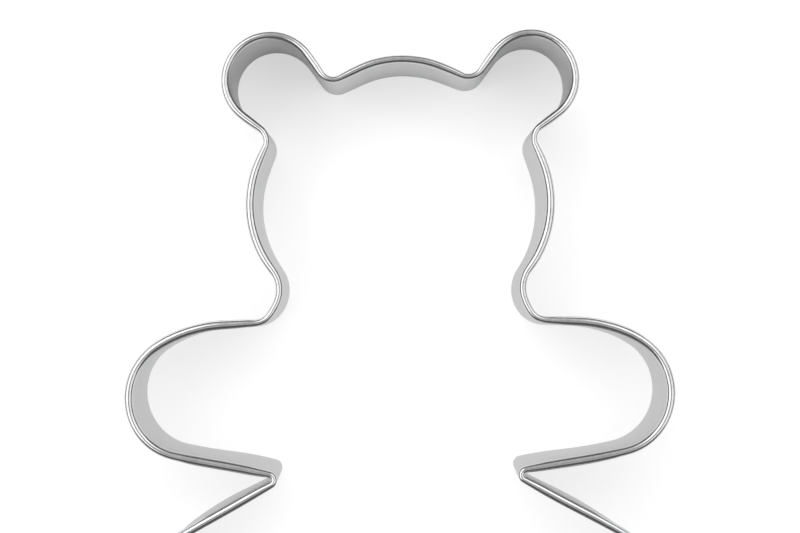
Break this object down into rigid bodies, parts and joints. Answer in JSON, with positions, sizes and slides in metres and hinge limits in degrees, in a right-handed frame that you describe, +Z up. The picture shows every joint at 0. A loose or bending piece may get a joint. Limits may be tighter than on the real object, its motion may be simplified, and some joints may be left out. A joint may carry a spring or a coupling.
{
  "type": "cookie cutter",
  "caption": "Bear-shaped cookie cutter: a stainless strip with a folded safety rim, bent round the outline and closed by a spot-welded lap, that stamps shapes from dough.",
  "frame": {"origin": "centre of the outline's box, on the plane of the cutting edge", "axes": "+Y from the legs towards the head, +Z up from the cutting edge to the folded rim, +X to the right seen from above"},
  "size_m": [0.0808, 0.0974, 0.025],
  "materials": {
    "stainless_strip": "bright rolled stainless with a fine grain along the strip",
    "weld_metal": "spot-weld metal, slightly duller, with a faint straw heat tint"
  },
  "bodies": {
    "root": {"cutter_band": "stainless_strip", "weld_lower": "weld_metal", "weld_middle": "weld_metal", "weld_upper": "weld_metal"}
  },
  "joints": []
}
